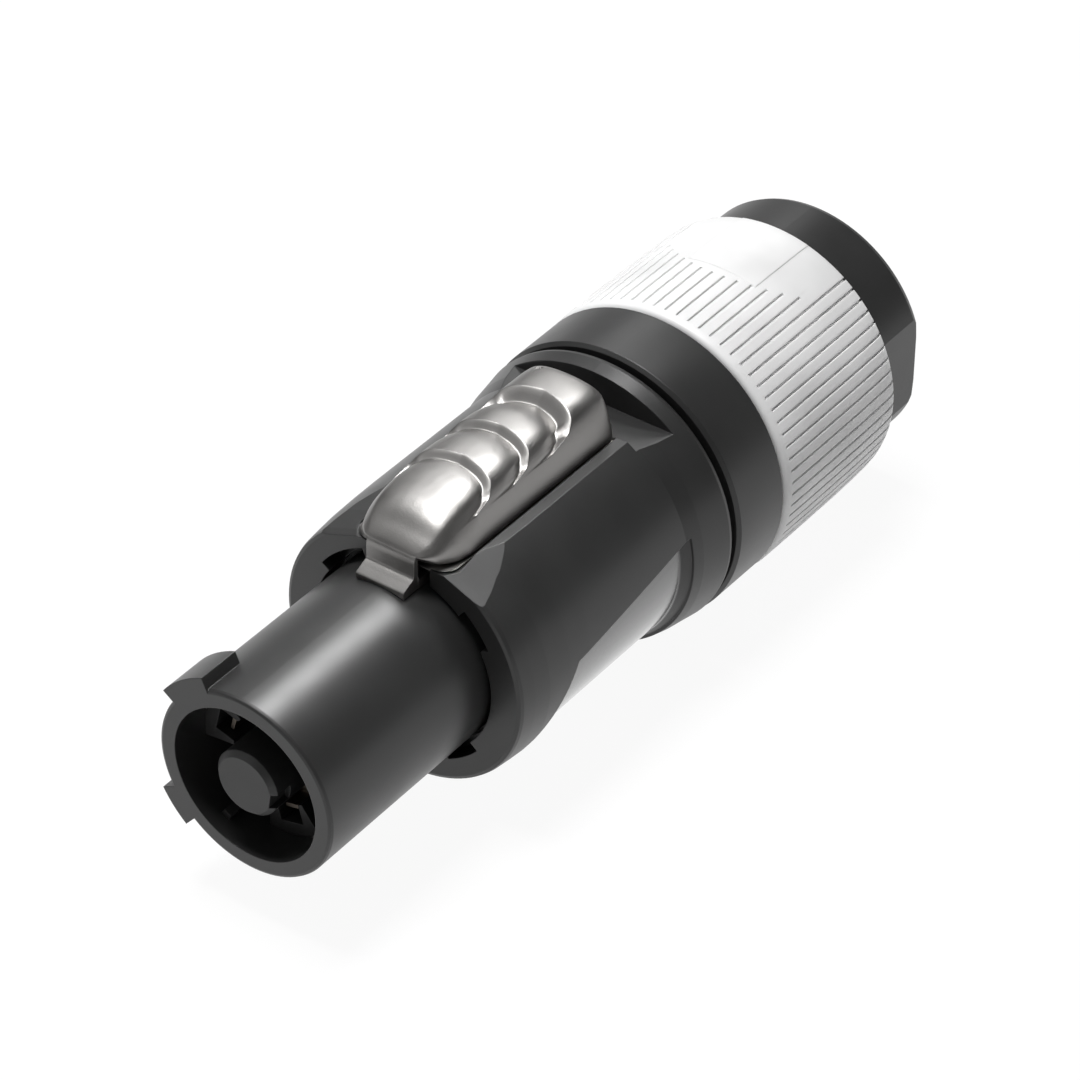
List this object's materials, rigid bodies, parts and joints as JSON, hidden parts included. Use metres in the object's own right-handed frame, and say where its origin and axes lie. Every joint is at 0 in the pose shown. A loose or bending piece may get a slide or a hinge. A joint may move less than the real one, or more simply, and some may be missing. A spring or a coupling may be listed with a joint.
{
  "type": "locking cable power connector",
  "caption": "In-line locking power connector for a cable: black round nose and housing, sprung metal slide latch and a light grey ribbed grip ring on the screw-on cable bushing.",
  "frame": {"origin": "on the connector's axis, in the shoulder plane that meets the outlet", "axes": "+X along the axis towards the cable, so the nose points to -X; +Z through the latch; -Y is the side that faces the viewer in the picture"},
  "size_m": [0.0893, 0.0304, 0.0322],
  "materials": {
    "black_plastic": "satin moulded",
    "insert_plastic": "matt moulded",
    "grey_plastic": "satin moulded",
    "die_cast": "satin plated die casting",
    "brass": "plain",
    "steel": "plain",
    "chuck_plastic": "satin moulded"
  },
  "bodies": {
    "plug_body": {"nose_shell": "black_plastic", "contact_insert": "insert_plastic", "contact_carrier": "insert_plastic", "contact_line": "brass", "contact_neutral": "brass", "contact_earth": "brass", "terminal_cage_line": "steel", "terminal_cage_neutral": "steel", "terminal_cage_earth": "steel", "terminal_screws": "steel", "housing": "black_plastic", "latch_spring": "steel"},
    "latch_slide_body": {"latch": "die_cast"},
    "chuck_body": {"cable_chuck": "chuck_plastic"},
    "bushing_body": {"bushing": "black_plastic", "grip_ring": "grey_plastic"}
  },
  "joints": [
    {"name": "latch_slide", "type": "slide", "parent": "plug_body", "child": "latch_slide_body", "axis": [1, 0, 0], "range_m": [0, 0.0036], "stiffness_N_per_m": 900, "springref_m": -0.004, "deforming": ["latch_spring"]},
    {"name": "chuck_slide", "type": "slide", "parent": "plug_body", "child": "chuck_body", "axis": [1, 0, 0], "range_m": [0, 0.005]},
    {"name": "bushing_turn", "type": "hinge", "parent": "chuck_body", "child": "bushing_body", "pos_m": [0.04, 0, 0], "axis": [1, 0, 0], "range_deg": [0, 720]}
  ],
  "couplings": [
    {"joint": "chuck_slide", "follows": "bushing_turn", "m_per_rad": 0.00039788}
  ]
}
